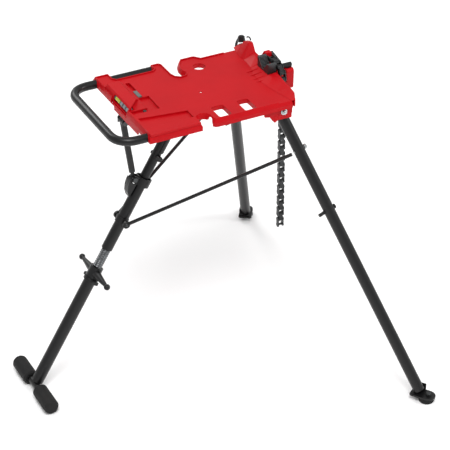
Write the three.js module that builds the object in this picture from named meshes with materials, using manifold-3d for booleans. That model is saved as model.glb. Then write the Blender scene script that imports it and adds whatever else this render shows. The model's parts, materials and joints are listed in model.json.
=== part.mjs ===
// A folding tripod chain vise stand: a tool tray on three legs, with a chain vise at one end.
// Millimetres, +Z up. X runs along the tray from the carry handle to the vise, Y across it.
import * as THREE from "three";
import { mergeVertices } from "three/addons/utils/BufferGeometryUtils.js";
import Module from "manifold-3d";

const wasm = await Module();
wasm.setup();

// ---------------------------------------------------------------- driving dimensions
const FIT = 0.3; // gap between pieces that touch

// Tool tray
const TRAY_TOP = 860; // height of the rim lip above the ground
const TRAY_LENGTH = 430;
const TRAY_DEPTH = 24; // rim skirt
const TRAY_WALL = 4;
const LIP_HEIGHT = 3;
const LIP_WIDTH = 8;
const RIM_SLOPE = { width: 5, height: 12 }; // the slanted top of the skirt
const SHEET = 3; // tray floor
const RIGHT_EDGE = -188; // long edge on the -Y side
const LEFT_RIM = 147; // long edge on the +Y side, beside the vise
const LEFT_BLOCK = 180; // the two blocks on the +Y side that hold the handle tube
const TRAY_FLOOR = TRAY_TOP - LIP_HEIGHT;
const SLOT_DEPTH = 8; // recess beside the level
const HOLE_DEPTH = 14; // walls of the tool holes and of the notches, from the floor
const TRAY_UNDER = TRAY_TOP - TRAY_DEPTH;

// Carry handle
const HANDLE_RADIUS = 12.2;
const HANDLE_HALF_WIDTH = 164;
const HANDLE_Z = TRAY_TOP - 17;
const HANDLE_REACH = 79; // how far the grip bar stands off the tray's end
const HANDLE_BEND = 50;

// Spirit level housing
const HOUSING = { x0: 4.7, x1: 58, y0: -40, y1: 110, top: TRAY_TOP + 8 };
const VIAL_RADIUS = 8.5;
const VIAL_LENGTH = 88;

// Vise
const SADDLE_SEAT = TRAY_TOP + 2;
const JAW_START = TRAY_LENGTH;
const JAW_END = JAW_START + 26;
const JAW = { centre: -6, half: 32, tip: 33, tipWidth: 7, valley: 4 };
const VISE_BODY = { x0: JAW_END + 2.4, x1: JAW_END + 20 };
const POST_X = JAW_START + 16; // the post that holds the ceiling brace knob
const CHAIN_X = JAW_END + 10.4;
const CHAIN = { y: -55, pitch: 18.3, height: 15, halfWidth: 9.6, plate: 3.4, pin: 3.2 };
const CHAIN_TOP_Z = TRAY_TOP - 10; // where the hanging run leaves the vise
const CHAIN_UPPER_LINKS = 14;
const CHAIN_LOWER_LINKS = 12;
const CRANK = { y: -24, z: TRAY_TOP + 12, hub: 6.5, drop: 69, width: 36 };
const CRANK_ARM = { x0: VISE_BODY.x1 + 11, x1: VISE_BODY.x1 + 34 };

// Rear leg. Its pin is the origin of the leg's own frame, whose +Z runs down the leg.
const REAR_PIN = new THREE.Vector3(158, 0, TRAY_TOP - 30);
const REAR_DIRECTION = new THREE.Vector3(-0.517, 0, -0.856).normalize();
const REAR_OFFSET = 31.76; // tube axis below the line of the pins
const THREAD_RADIUS = 13.5;
const UPPER_RADIUS = THREAD_RADIUS; // both run in the sleeve's one bore
const SLEEVE = { radius: THREAD_RADIUS + 2.5, z0: 235, z1: 465 };
const TUBE_WALL = 2;
const THREAD_ENGAGED = 125; // thread inside the sleeve
const WING = { z0: 525, z1: 560, radius: 19, span: 85.5, ball: 9, root: 13, neck: 4.5 };
const LOWER_RADIUS = 17.5;
const BOOT = { radius: 22, inner: 30, outer: 125 };
const T_BAR_RADIUS = 11;
const BRACKET_STATION = 369.95; // brace bracket along the rear leg
const BALL_SPREAD = 29.84;
const BALL_RADIUS = 6.5;
const STUB_RADIUS = 3;

// Strut that slides the collar along the rear leg
const STRUT_LENGTH = 190;
const STRUT_DIRECTION = new THREE.Vector3(23, 0, -171).normalize();
const STRUT_RADIUS = 9;
const COLLAR_STATION = 243;
const COLLAR_CLEARANCE = 3.5; // the collar's play on the sleeve

// Front legs
const FRONT_PIN = new THREE.Vector3(TRAY_LENGTH - 23.51, 146.79, TRAY_TOP - 48.5);
const FRONT_DIRECTION = new THREE.Vector3(0.28318, 0.42143, -0.86151).normalize();
const FRONT_AXIS = new THREE.Vector3(0.085, 0.83636, 0.54156).normalize();
const FRONT_RADIUS = 16;
const BRACKET_PLATES = { inner: 113, outer: 174, thickness: 4 }; // near faces from the middle
const BRACE_STATION = 123.05;
const BRACE_STANDOFF = 24;
const BRACE_RADIUS = 5;
const PEG_STATION = 313;
const PAD = { radius: 22, height: 13.7, reach: 24 };
const FOOT_PLATE = { height: 6, width: 42, back: 22, front: 50 };

const PIN_RADIUS = 4.7;

// ---------------------------------------------------------------- finishes
const finish = (color, roughness, metalness) =>
  new THREE.MeshStandardMaterial({ color, roughness, metalness });
const RED_PAINT = finish(0xd0202c, 0.42, 0.1);
const BLACK_PAINT = finish(0x26272a, 0.5, 0.3);
const DARK_STEEL = finish(0x4a4d50, 0.45, 0.8);
const BRIGHT_STEEL = finish(0xa7aaad, 0.35, 0.9);
const BLACK_RUBBER = finish(0x1d1d1f, 0.85, 0);
const VIAL_GREEN = finish(0xb9c23a, 0.2, 0);
const GREY_PLASTIC = finish(0x6f7371, 0.55, 0);

// ---------------------------------------------------------------- solids
function toSolid(geometry) {
  const bare = geometry.index ? geometry.toNonIndexed() : geometry.clone();
  for (const name of Object.keys(bare.attributes)) {
    if (name !== "position") bare.deleteAttribute(name);
  }
  const merged = mergeVertices(bare, 1e-4);
  return new wasm.Manifold(
    new wasm.Mesh({
      numProp: 3,
      vertProperties: new Float32Array(merged.attributes.position.array),
      triVerts: new Uint32Array(merged.index.array),
    }),
  );
}

function toGeometry(solid) {
  const mesh = solid.getMesh();
  const positions = new Float32Array(mesh.numVert * 3);
  for (let i = 0; i < mesh.numVert; i++) {
    const start = i * mesh.numProp;
    positions.set(mesh.vertProperties.subarray(start, start + 3), i * 3);
  }
  const geometry = new THREE.BufferGeometry();
  geometry.setAttribute("position", new THREE.BufferAttribute(positions, 3));
  geometry.setIndex(new THREE.BufferAttribute(new Uint32Array(mesh.triVerts), 1));
  const faceted = geometry.toNonIndexed();
  faceted.computeVertexNormals();
  return faceted;
}

const join = (...solids) => solids.reduce((whole, next) => whole.add(next));
const cut = (solid, ...tools) => tools.reduce((left, tool) => left.subtract(tool), solid);
const point = (x, y, z) => new THREE.Vector3(x, y, z);

function block(x0, x1, y0, y1, z0, z1) {
  const geometry = new THREE.BoxGeometry(x1 - x0, y1 - y0, z1 - z0);
  return toSolid(geometry.translate((x0 + x1) / 2, (y0 + y1) / 2, (z0 + z1) / 2));
}

// Turns a geometry built along +Z from the origin so that it starts at `from` and runs towards `to`.
function aim(geometry, from, to) {
  const turn = new THREE.Quaternion().setFromUnitVectors(
    point(0, 0, 1),
    to.clone().sub(from).normalize(),
  );
  return toSolid(geometry.applyQuaternion(turn).translate(from.x, from.y, from.z));
}

function rod(from, to, radius, sides = 20, endRadius = radius) {
  const length = from.distanceTo(to);
  const geometry = new THREE.CylinderGeometry(endRadius, radius, length, sides);
  geometry.rotateX(Math.PI / 2).translate(0, 0, length / 2);
  return aim(geometry, from, to);
}

function pipe(from, to, outer, inner, sides = 24) {
  const length = from.distanceTo(to);
  const profile = [
    [inner, 0],
    [outer, 0],
    [outer, length],
    [inner, length],
    [inner, 0],
  ].map(([r, h]) => new THREE.Vector2(r, h));
  const geometry = new THREE.LatheGeometry(profile, sides);
  geometry.rotateX(Math.PI / 2);
  return aim(geometry, from, to);
}

const ball = (centre, radius, sides = 16) =>
  toSolid(
    new THREE.SphereGeometry(radius, sides, Math.round(sides * 0.6)).translate(
      centre.x,
      centre.y,
      centre.z,
    ),
  );

const outlineOf = (points) => new THREE.Shape(points.map(([a, b]) => new THREE.Vector2(a, b)));

function prismZ(points, z0, z1) {
  const geometry = new THREE.ExtrudeGeometry(outlineOf(points), {
    depth: z1 - z0,
    bevelEnabled: false,
  });
  return toSolid(geometry.translate(0, 0, z0));
}

// An outline in (y, z), extruded from x0 to x1.
function prismX(points, x0, x1) {
  const geometry = new THREE.ExtrudeGeometry(outlineOf(points), {
    depth: x1 - x0,
    bevelEnabled: false,
  });
  const turn = new THREE.Matrix4().makeBasis(point(0, 1, 0), point(0, 0, 1), point(1, 0, 0));
  return toSolid(geometry.applyMatrix4(turn).translate(x0, 0, 0));
}

// An outline in (x, z), extruded from y0 to y1.
function prismY(points, y0, y1) {
  const geometry = new THREE.ExtrudeGeometry(outlineOf(points), {
    depth: y1 - y0,
    bevelEnabled: false,
  });
  const turn = new THREE.Matrix4().makeBasis(point(1, 0, 0), point(0, 0, 1), point(0, -1, 0));
  return toSolid(geometry.applyMatrix4(turn).translate(0, y1, 0));
}

function arc(cx, cy, radius, startDegrees, endDegrees, steps) {
  return Array.from({ length: steps + 1 }, (_, i) => {
    const angle = THREE.MathUtils.degToRad(
      startDegrees + ((endDegrees - startDegrees) * i) / steps,
    );
    return [cx + radius * Math.cos(angle), cy + radius * Math.sin(angle)];
  });
}

// Moves every side of a counter-clockwise outline inwards by `distance`.
function inset(points, distance) {
  return points.map((here, i) => {
    const before = points[(i + points.length - 1) % points.length];
    const after = points[(i + 1) % points.length];
    const d1 = new THREE.Vector2(here[0] - before[0], here[1] - before[1]).normalize();
    const d2 = new THREE.Vector2(after[0] - here[0], after[1] - here[1]).normalize();
    const n1 = new THREE.Vector2(-d1.y, d1.x);
    const n2 = new THREE.Vector2(-d2.y, d2.x);
    const middle = n1.clone().add(n2).normalize();
    const reach = distance / Math.max(0.5, middle.dot(n1));
    return [here[0] + middle.x * reach, here[1] + middle.y * reach];
  });
}

const roundedBox = (x0, x1, y0, y1, radius) => [
  ...arc(x1 - radius, y1 - radius, radius, 0, 90, 3),
  ...arc(x0 + radius, y1 - radius, radius, 90, 180, 3),
  ...arc(x0 + radius, y0 + radius, radius, 180, 270, 3),
  ...arc(x1 - radius, y0 + radius, radius, 270, 360, 3),
];

// Joins rings of equal length into one closed body. Its end rings are triangulated in the plane of
// the two named axes, in which they run counter-clockwise.
function loft(rings, across = "x", up = "z") {
  const count = rings[0].length;
  const positions = rings.flat().flatMap((p) => [p.x, p.y, p.z]);
  const index = [];
  for (let r = 0; r < rings.length - 1; r++) {
    for (let i = 0; i < count; i++) {
      const a = r * count + i;
      const b = r * count + ((i + 1) % count);
      index.push(a, b, b + count, a, b + count, a + count);
    }
  }
  const flat = rings[0].map((p) => new THREE.Vector2(p[across], p[up]));
  const last = (rings.length - 1) * count;
  for (const [a, b, c] of THREE.ShapeUtils.triangulateShape(flat, [])) {
    index.push(a, c, b, last + a, last + b, last + c);
  }
  const geometry = new THREE.BufferGeometry();
  geometry.setAttribute("position", new THREE.Float32BufferAttribute(positions, 3));
  geometry.setIndex(index);
  return toSolid(geometry);
}

// ---------------------------------------------------------------- scene graph
const stand = new THREE.Group();

function piece(name, solid, material, group = stand) {
  const mesh = new THREE.Mesh(toGeometry(solid), material);
  mesh.name = name;
  group.add(mesh);
  return mesh;
}

// A group whose +Z runs along `direction`, and whose +Y is as near as it can be to `across`.
function frameAlong(origin, direction, across) {
  const group = new THREE.Group();
  const z = direction.clone().normalize();
  const x = across.clone().cross(z).normalize();
  const y = z.clone().cross(x);
  group.quaternion.setFromRotationMatrix(new THREE.Matrix4().makeBasis(x, y, z));
  group.position.copy(origin);
  stand.add(group);
  return group;
}

// ---------------------------------------------------------------- tool tray
function trayOutline() {
  const rightNotch = { x: 171, y: -160, radius: 16.5 };
  return [
    [0, RIGHT_EDGE],
    [rightNotch.x - rightNotch.radius, RIGHT_EDGE],
    ...arc(rightNotch.x, rightNotch.y, rightNotch.radius, 180, 0, 8),
    ...arc(rightNotch.x + 30.5, RIGHT_EDGE + 14, 14, 180, 270, 4),
    [TRAY_LENGTH - 6, RIGHT_EDGE],
    [TRAY_LENGTH, RIGHT_EDGE + 6],
    [TRAY_LENGTH, LEFT_RIM - 6],
    [TRAY_LENGTH - 6, LEFT_RIM],
    [315, LEFT_RIM],
    [303, LEFT_RIM + 15],
    [296, LEFT_RIM + 18],
    [256, LEFT_RIM + 18],
    // hooked notch
    [250, 158],
    [238, 140],
    [232, 122],
    [231, 100],
    [235, 86],
    [230, 77],
    [217, 75],
    [207, 83],
    [203, 97],
    [203, 158],
    [199, 168],
    [191, 172],
    [166, 172],
    // grip opening beside the handle tube
    [166, 147],
    [160, 141],
    [55, 141],
    [48, 148],
    [48, LEFT_BLOCK],
    [0, LEFT_BLOCK],
  ];
}

function handleBore(side) {
  const y = side * HANDLE_HALF_WIDTH;
  return rod(point(-20, y, HANDLE_Z), point(210, y, HANDLE_Z), HANDLE_RADIUS + FIT, 24);
}

function toolTray() {
  const outline = trayOutline();
  const pocket = [
    [12, -60],
    [90, -60],
    [92, 16],
    [HOUSING.x1 + 3, 16],
    [HOUSING.x1 + 3, HOUSING.y0 - 3],
    [12, HOUSING.y0 - 3],
  ];
  const trough = [
    [14, -84],
    [14, -146],
    [150, -146],
    [150, -104],
  ];
  const pocketFloor = TRAY_FLOOR - 6;
  const troughFloor = TRAY_FLOOR - 5;
  const slotFloor = TRAY_FLOOR - SLOT_DEPTH;
  const holeFoot = TRAY_FLOOR - HOLE_DEPTH;
  const holes = [
    arc(288, 103, 18.5, 337.5, 0, 15).toReversed(),
    roundedBox(211, 248, -176, -117, 6),
    roundedBox(288, 322, -178, -118, 6),
  ];
  const slopeStart = TRAY_TOP - RIM_SLOPE.height;
  const ringAt = (points, z) => points.map(([x, y]) => point(x, y, z));
  const slope = loft(
    [ringAt(outline, slopeStart), ringAt(inset(outline, RIM_SLOPE.width), TRAY_TOP)],
    "x",
    "y",
  );
  const shell = cut(
    join(prismZ(outline, TRAY_UNDER, slopeStart), slope),
    prismZ(inset(outline, LIP_WIDTH), TRAY_FLOOR, TRAY_TOP + 1),
    prismZ(inset(outline, TRAY_WALL), TRAY_UNDER - 1, TRAY_FLOOR - SHEET),
  );
  const withLows = join(
    shell,
    prismZ(inset(pocket, -SHEET), pocketFloor - SHEET, TRAY_FLOOR - 1),
    prismZ(inset(trough.toReversed(), SHEET), troughFloor - SHEET, TRAY_FLOOR - 1),
    block(61, 79, 14, 110, slotFloor - SHEET, TRAY_FLOOR - 1),
    ...holes.map((hole) => prismZ(inset(hole, -SHEET), holeFoot, TRAY_FLOOR - 1)),
    block(4, 150, RIGHT_EDGE + 1, -150, TRAY_FLOOR - 1, TRAY_TOP + 2),
    // deeper apron below the level
    block(0, TRAY_WALL, -110, 40, TRAY_UNDER - 11, TRAY_UNDER + 1),
  );
  const housing = block(
    HOUSING.x0 - FIT,
    HOUSING.x1 + FIT,
    HOUSING.y0 - FIT,
    HOUSING.y1 + FIT,
    TRAY_UNDER + 1.7,
    TRAY_TOP + 5,
  );
  return cut(
    withLows,
    prismZ(pocket, pocketFloor, TRAY_TOP + 3),
    prismZ(trough.toReversed(), troughFloor, TRAY_TOP + 3),
    housing,
    // window in the end skirt, in front of the level
    block(-1, TRAY_WALL + 1, HOUSING.y0 + 2, 60, TRAY_UNDER + 2, TRAY_TOP + 5),
    prismZ(roundedBox(63, 76, 17, 107, 4), slotFloor, TRAY_TOP + 1),
    ...holes.map((hole) => prismZ(hole, TRAY_UNDER - 1, TRAY_TOP + 1)),
    prismZ(arc(227, -30, 4, 0, 315, 7), TRAY_UNDER - 1, TRAY_TOP + 1),
    // the skirt is shallower round the two notches
    block(214, 262, 60, 190, TRAY_UNDER - 1, holeFoot),
    block(149.5, 196, -178, -134, TRAY_UNDER - 1, holeFoot),
    handleBore(1),
    handleBore(-1),
    // seat for the vise saddle
    block(TRAY_LENGTH - 46, TRAY_LENGTH + 1, RIGHT_EDGE - 1, 160, TRAY_FLOOR, TRAY_TOP + 1),
    rod(point(50, -50, TRAY_UNDER), point(50, -50, TRAY_TOP), 2.8 + FIT, 12),
  );
}

piece("tool_tray", toolTray(), RED_PAINT);

// ---------------------------------------------------------------- level, slot insert and screw
const VIAL_X = HOUSING.x0 + 12;
const VIAL_Z = TRAY_TOP - 7;
const VIAL_Y = 10;

function levelHousing() {
  const { x0, x1, y0, y1, top } = HOUSING;
  const body = prismY(
    [
      [x0, TRAY_UNDER + 2],
      [x1, TRAY_UNDER + 2],
      [x1, TRAY_TOP - 2],
      [x1 - 12, top],
      [x0 + 9, top],
      [x0, top - 12],
    ],
    y0,
    y1,
  );
  const slant = prismZ(
    [
      [x0 + 8, y0 - 1],
      [x1 + 1, y0 - 1],
      [x1 + 1, y0 + 50],
    ],
    TRAY_FLOOR,
    top + 1,
  );
  const half = VIAL_LENGTH / 2 + 1;
  const window = block(x0 - 1, VIAL_X + 8, VIAL_Y - half, VIAL_Y + half, VIAL_Z - 10, VIAL_Z + 10);
  return cut(body, slant, window);
}

piece("level_housing", levelHousing(), RED_PAINT);
piece(
  "level_vial",
  rod(
    point(VIAL_X - 1.5, VIAL_Y - VIAL_LENGTH / 2, VIAL_Z),
    point(VIAL_X - 1.5, VIAL_Y + VIAL_LENGTH / 2, VIAL_Z),
    VIAL_RADIUS,
  ),
  VIAL_GREEN,
);
piece(
  "slot_insert",
  block(64, 75, 22, 56, TRAY_FLOOR - SLOT_DEPTH + FIT, TRAY_FLOOR + 1),
  GREY_PLASTIC,
);
piece(
  "pocket_screw",
  join(
    rod(point(50, -50, TRAY_FLOOR - 5.7), point(50, -50, TRAY_FLOOR - 2), 5, 12),
    rod(point(50, -50, TRAY_UNDER + 4), point(50, -50, TRAY_FLOOR - 5), 2.8, 12),
  ),
  DARK_STEEL,
);

// ---------------------------------------------------------------- carry handle
function carryHandle() {
  const bend = HANDLE_BEND;
  const y = HANDLE_HALF_WIDTH;
  const x = -HANDLE_REACH;
  const z = HANDLE_Z;
  const quarter = (cx, cy, start, end) =>
    arc(cx, cy, bend, start, end, 6).map(([px, py]) => point(px, py, z));
  const route = [
    point(196, y, z),
    point(x + bend + 12, y, z),
    ...quarter(x + bend, y - bend, 90, 180),
    ...quarter(x + bend, -y + bend, 180, 270),
    point(x + bend + 12, -y, z),
    point(148, -y, z),
  ];
  const path = new THREE.CurvePath();
  for (let i = 1; i < route.length; i++) {
    path.add(new THREE.LineCurve3(route[i - 1], route[i]));
  }
  const section = outlineOf(arc(0, 0, HANDLE_RADIUS, 0, 337.5, 15));
  return toSolid(
    new THREE.ExtrudeGeometry(section, { steps: 60, extrudePath: path, bevelEnabled: false }),
  );
}

piece("carry_handle", carryHandle(), BLACK_PAINT);

// ---------------------------------------------------------------- vise
function viseSaddle() {
  const foot = TRAY_FLOOR + 0.4;
  const outside = TRAY_LENGTH + 0.4;
  // y; how far inside the tray's end the foot starts; crest height over the rim; crest width
  // before and after the crest line; how far that line stands outside the tray's end
  const stations = [
    [158, 6, 6, 3, 4, 16],
    [137, 10, 14, 4, 6, 16],
    [128, 12, 28, 5, 6, 16],
    [112, 14, 34, 6, 7, 16],
    [99, 16, 37, 6, 7, 16],
    [93, 15, 34, 5, 7, 16],
    [80, 14, 14, 3, 7, 16],
    [60, 15, 12, 4, 8, 16],
    [JAW.centre + JAW.half + 8, 17, 8, 6, 8, 16],
    [JAW.centre + JAW.half + 2, 18, 2, 16, 10, 16],
    [JAW.centre, 30, 2, 16, 10, 16],
    [JAW.centre - JAW.half - 2, 33, 2, 16, 10, 16],
    [JAW.centre - JAW.half - 7, 33, 9, 3, 7, 16],
    [-90, 27, 4, 2, 6, 16],
    [-125, 21, 1, 2, 6, 16],
    [-152, 15, -1, 3, 5, 15],
    [-170, 11, -1, 3, 4, 7],
    [-186, 8, -2, 3, 3, 1],
  ];
  const rings = stations.map(([y, inside, rise, before, after, out]) => {
    const line = TRAY_LENGTH + out;
    return [
      point(TRAY_LENGTH - inside, y, foot),
      point(outside, y, foot),
      point(outside, y, TRAY_UNDER + 2),
      point(Math.max(line + after, outside + 2), y, TRAY_UNDER + 2),
      point(line + after, y, TRAY_TOP + rise),
      point(line - before, y, TRAY_TOP + rise),
    ];
  });
  const ribs = [12, -10, -32, -50].map((y) =>
    prismY(
      [
        [TRAY_LENGTH - 43, foot],
        [TRAY_LENGTH - 5, foot],
        [TRAY_LENGTH - 0.5, SADDLE_SEAT - 0.2],
        [TRAY_LENGTH - 10, SADDLE_SEAT - 0.2],
      ],
      y - 2,
      y + 2,
    ),
  );
  return join(loft(rings), ...ribs);
}

piece("vise_saddle", viseSaddle(), RED_PAINT);

function jaw(side) {
  const base = SADDLE_SEAT + FIT;
  const tip = SADDLE_SEAT + JAW.tip - 2;
  const outline = [
    [JAW.half * 0.92, base],
    [JAW.half, tip],
    [JAW.half - JAW.tipWidth, tip],
    [0.6, base + JAW.valley],
    [0.6, base],
  ].map(([y, z]) => [JAW.centre + side * y, z]);
  return prismX(side > 0 ? outline : outline.toReversed(), JAW_START, JAW_END);
}

piece("jaw_left", jaw(1), DARK_STEEL);
piece("jaw_right", jaw(-1), DARK_STEEL);

piece(
  "vise_body",
  prismX(
    [
      [62, TRAY_UNDER + 2],
      [62, TRAY_TOP + 6],
      [42, TRAY_TOP + 33],
      [27, TRAY_TOP + 33],
      [25, TRAY_TOP + 15],
      [-18, TRAY_TOP + 15],
      [-30, TRAY_TOP + 12],
      [-38, TRAY_TOP + 5],
      [-38, TRAY_UNDER + 2],
    ].toReversed(),
    VISE_BODY.x0,
    VISE_BODY.x1,
  ),
  RED_PAINT,
);
piece(
  "pressure_plate",
  prismX(
    [
      [38, TRAY_TOP + 14],
      [38, TRAY_TOP + 30],
      [-14, TRAY_TOP + 21],
      [-14, TRAY_TOP + 8],
    ].toReversed(),
    VISE_BODY.x1 + FIT,
    VISE_BODY.x1 + 8,
  ),
  DARK_STEEL,
);

// Tension crank: a black screw with a red drop arm
const lug = { x0: CRANK_ARM.x0 + 4, x1: CRANK_ARM.x1 - 4, halfWidth: 6, drop: 22 };
piece(
  "crank_hub",
  join(
    rod(
      point(VISE_BODY.x1 + FIT, CRANK.y, CRANK.z),
      point(CRANK_ARM.x1 - 1, CRANK.y, CRANK.z),
      CRANK.hub,
    ),
    block(
      lug.x0,
      lug.x1,
      CRANK.y - lug.halfWidth,
      CRANK.y + lug.halfWidth,
      CRANK.z - lug.drop,
      CRANK.z,
    ),
  ),
  BLACK_PAINT,
);

function crankArm() {
  const top = CRANK.z - CRANK.hub - 0.5;
  const half = CRANK.width / 2;
  const arm = prismX(
    [
      [CRANK.y - half + 5, top],
      [CRANK.y - half, top - 6],
      [CRANK.y - half + 2, CRANK.z - CRANK.drop + 4],
      [CRANK.y - half + 6, CRANK.z - CRANK.drop],
      [CRANK.y + half - 6, CRANK.z - CRANK.drop],
      [CRANK.y + half - 2, CRANK.z - CRANK.drop + 4],
      [CRANK.y + half, top - 6],
      [CRANK.y + half - 5, top],
    ],
    CRANK_ARM.x0,
    CRANK_ARM.x1,
  );
  return cut(
    arm,
    block(
      lug.x0 - FIT,
      lug.x1 + FIT,
      CRANK.y - lug.halfWidth - FIT,
      CRANK.y + lug.halfWidth + FIT,
      CRANK.z - lug.drop - FIT,
      CRANK.z,
    ),
  );
}

piece("crank_arm", crankArm(), RED_PAINT);

// Ceiling brace knob, its wire handle and the bail on the post
piece(
  "brace_knob",
  join(
    rod(point(POST_X, 150, TRAY_TOP + 16), point(POST_X, 153, TRAY_TOP + 30), 11, 16, 10),
    rod(point(POST_X, 153, TRAY_TOP + 30), point(POST_X, 153.6, TRAY_TOP + 33), 7, 16),
  ),
  BLACK_PAINT,
);

function wire(points, radius, steps) {
  const path = new THREE.CatmullRomCurve3(points);
  const section = outlineOf(arc(0, 0, radius, 0, 315, 7));
  return toSolid(
    new THREE.ExtrudeGeometry(section, { steps, extrudePath: path, bevelEnabled: false }),
  );
}

piece(
  "brace_strap",
  wire(
    [
      point(POST_X, 166.4, TRAY_TOP + 18),
      point(POST_X, 172.5, TRAY_TOP + 10),
      point(POST_X - 1, 178, TRAY_TOP - 1),
      point(POST_X - 2, 181, TRAY_TOP - 14),
    ],
    4,
    12,
  ),
  BLACK_PAINT,
);
piece(
  "post_bail",
  wire(
    [
      point(POST_X + 5, 105, TRAY_TOP + 39.5),
      point(POST_X + 6, 112, TRAY_TOP + 43),
      point(POST_X + 6, 122, TRAY_TOP + 42),
      point(POST_X + 5, 128, TRAY_TOP + 38),
    ],
    2.2,
    10,
  ),
  BLACK_PAINT,
);

// ---------------------------------------------------------------- chain
// One link between two pins: a pair of outer plates, or one inner block between the next pairs.
function chainLink(from, to, outer) {
  const { height, halfWidth, plate } = CHAIN;
  const overhang = height / 2 - 1;
  const half = from.distanceTo(to) / 2 + overhang;
  const wide = (outer ? height : height - 2) / 2;
  const bevel = wide * 0.55;
  const outline = [
    [-half, -wide + bevel],
    [-half + bevel, -wide],
    [half - bevel, -wide],
    [half, -wide + bevel],
    [half, wide - bevel],
    [half - bevel, wide],
    [-half + bevel, wide],
    [-half, wide - bevel],
  ];
  const centre = from.clone().add(to).multiplyScalar(0.5);
  const angle = Math.atan2(to.z - from.z, to.y - from.y);
  const placed = outline.map(([a, b]) => [
    centre.y + a * Math.cos(angle) - b * Math.sin(angle),
    centre.z + a * Math.sin(angle) + b * Math.cos(angle),
  ]);
  const inner = halfWidth - plate;
  return outer
    ? join(
        prismX(placed, CHAIN_X - halfWidth, CHAIN_X - inner),
        prismX(placed, CHAIN_X + inner, CHAIN_X + halfWidth),
      )
    : prismX(placed, CHAIN_X - inner + FIT, CHAIN_X + inner - FIT);
}

const chainPin = (at, reach, radius) =>
  rod(point(at.x - reach, at.y, at.z), point(at.x + reach, at.y, at.z), radius, 8);

// Links and pins along `joints`. A run that hangs from another leaves its first pin to that one.
function chainRun(joints, startsOuter) {
  const parts = [];
  for (let i = 1; i < joints.length; i++) {
    parts.push(chainLink(joints[i - 1], joints[i], (i % 2 === 1) === startsOuter));
    parts.push(chainPin(joints[i], CHAIN.halfWidth, CHAIN.pin));
  }
  return startsOuter
    ? join(...parts, chainPin(joints[0], CHAIN.halfWidth, CHAIN.pin))
    : cut(join(...parts), chainPin(joints[0], CHAIN.halfWidth + 1, CHAIN.pin + FIT));
}

function hangingRun(top, count) {
  const joints = [];
  for (let i = 0; i <= count; i++) {
    joints.push(point(CHAIN_X, CHAIN.y, top - i * CHAIN.pitch));
  }
  return chainRun(joints, false);
}

const crestZ = TRAY_TOP + 15 + CHAIN.height / 2 + FIT;
const lowerRunTop = CHAIN_TOP_Z - CHAIN_UPPER_LINKS * CHAIN.pitch;
piece(
  "chain_top",
  chainRun(
    [
      point(CHAIN_X, 16, crestZ),
      point(CHAIN_X, -2, crestZ + 0.5),
      point(CHAIN_X, -20, crestZ + 0.2),
      point(CHAIN_X, -37, crestZ - 4),
      point(CHAIN_X, -50, crestZ - 16),
      point(CHAIN_X, CHAIN.y, CHAIN_TOP_Z),
    ],
    true,
  ),
  DARK_STEEL,
);
piece("chain_upper", hangingRun(CHAIN_TOP_Z, CHAIN_UPPER_LINKS), DARK_STEEL);
piece("chain_lower", hangingRun(lowerRunTop, CHAIN_LOWER_LINKS), DARK_STEEL);

// ---------------------------------------------------------------- rear leg and its hinge
const trayCeiling = TRAY_FLOOR - SHEET - FIT;
const forks = (outline, inner, outer) =>
  join(prismY(outline, inner, outer), prismY(outline, -outer, -inner));

function rearBracket() {
  const { x, z } = REAR_PIN;
  const cheek = [
    [x - 26, trayCeiling - 1],
    [x - 14, z - 8],
    [x - 6, z - 14],
    [x + 6, z - 14],
    [x + 14, z - 8],
    [x + 26, trayCeiling - 1],
  ];
  return cut(
    join(forks(cheek, 14, 18), block(x - 30, x + 30, -26, 26, trayCeiling - 3, trayCeiling)),
    rod(point(x, -30, z), point(x, 30, z), PIN_RADIUS + FIT),
  );
}

piece("rear_bracket", rearBracket(), BLACK_PAINT);
piece(
  "rear_pin",
  join(
    rod(point(REAR_PIN.x, -19, REAR_PIN.z), point(REAR_PIN.x, 23, REAR_PIN.z), PIN_RADIUS),
    rod(point(REAR_PIN.x, -23, REAR_PIN.z), point(REAR_PIN.x, -18.4, REAR_PIN.z), 8, 6),
  ),
  DARK_STEEL,
);

const rearLeg = frameAlong(REAR_PIN, REAR_DIRECTION, point(0, 1, 0));
const onRear = (s, side = 0, lift = 0) => point(-REAR_OFFSET + lift, side, s);
const crossBolt = { station: 161, radius: 4.5 };

function rearUpperTube() {
  const eye = rod(point(0, -12, 0), point(0, 12, 0), 12);
  const arm = prismY(
    [
      [-REAR_OFFSET, -6],
      [-4, -11],
      [6, 10],
      [-REAR_OFFSET + 6, 30],
    ],
    -10,
    10,
  );
  const tube = pipe(onRear(-8), onRear(250), UPPER_RADIUS, UPPER_RADIUS - TUBE_WALL);
  return cut(
    join(tube, eye, arm),
    rod(point(0, -20, 0), point(0, 20, 0), PIN_RADIUS + FIT),
    rod(
      onRear(crossBolt.station, -30),
      onRear(crossBolt.station, 30),
      crossBolt.radius + FIT,
      12,
    ),
  );
}

piece("rear_upper_tube", rearUpperTube(), BLACK_PAINT, rearLeg);

function upperClamp() {
  const shell = pipe(onRear(36), onRear(148), UPPER_RADIUS + 3, UPPER_RADIUS + FIT);
  const opening = block(-REAR_OFFSET + 3, -REAR_OFFSET + 30, -30, 30, 30, 150);
  return cut(shell, opening);
}

piece("upper_clamp", upperClamp(), BLACK_PAINT, rearLeg);
piece(
  "cross_bolt",
  join(
    rod(
      onRear(crossBolt.station, -22),
      onRear(crossBolt.station, 19),
      crossBolt.radius,
      12,
    ),
    rod(onRear(crossBolt.station, -28), onRear(crossBolt.station, -16), 8, 12),
    rod(onRear(crossBolt.station, 16), onRear(crossBolt.station, 21), 7, 6),
  ),
  BLACK_PAINT,
  rearLeg,
);
piece(
  "leg_sleeve",
  pipe(onRear(SLEEVE.z0), onRear(SLEEVE.z1), SLEEVE.radius, UPPER_RADIUS + FIT),
  BLACK_PAINT,
  rearLeg,
);

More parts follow.
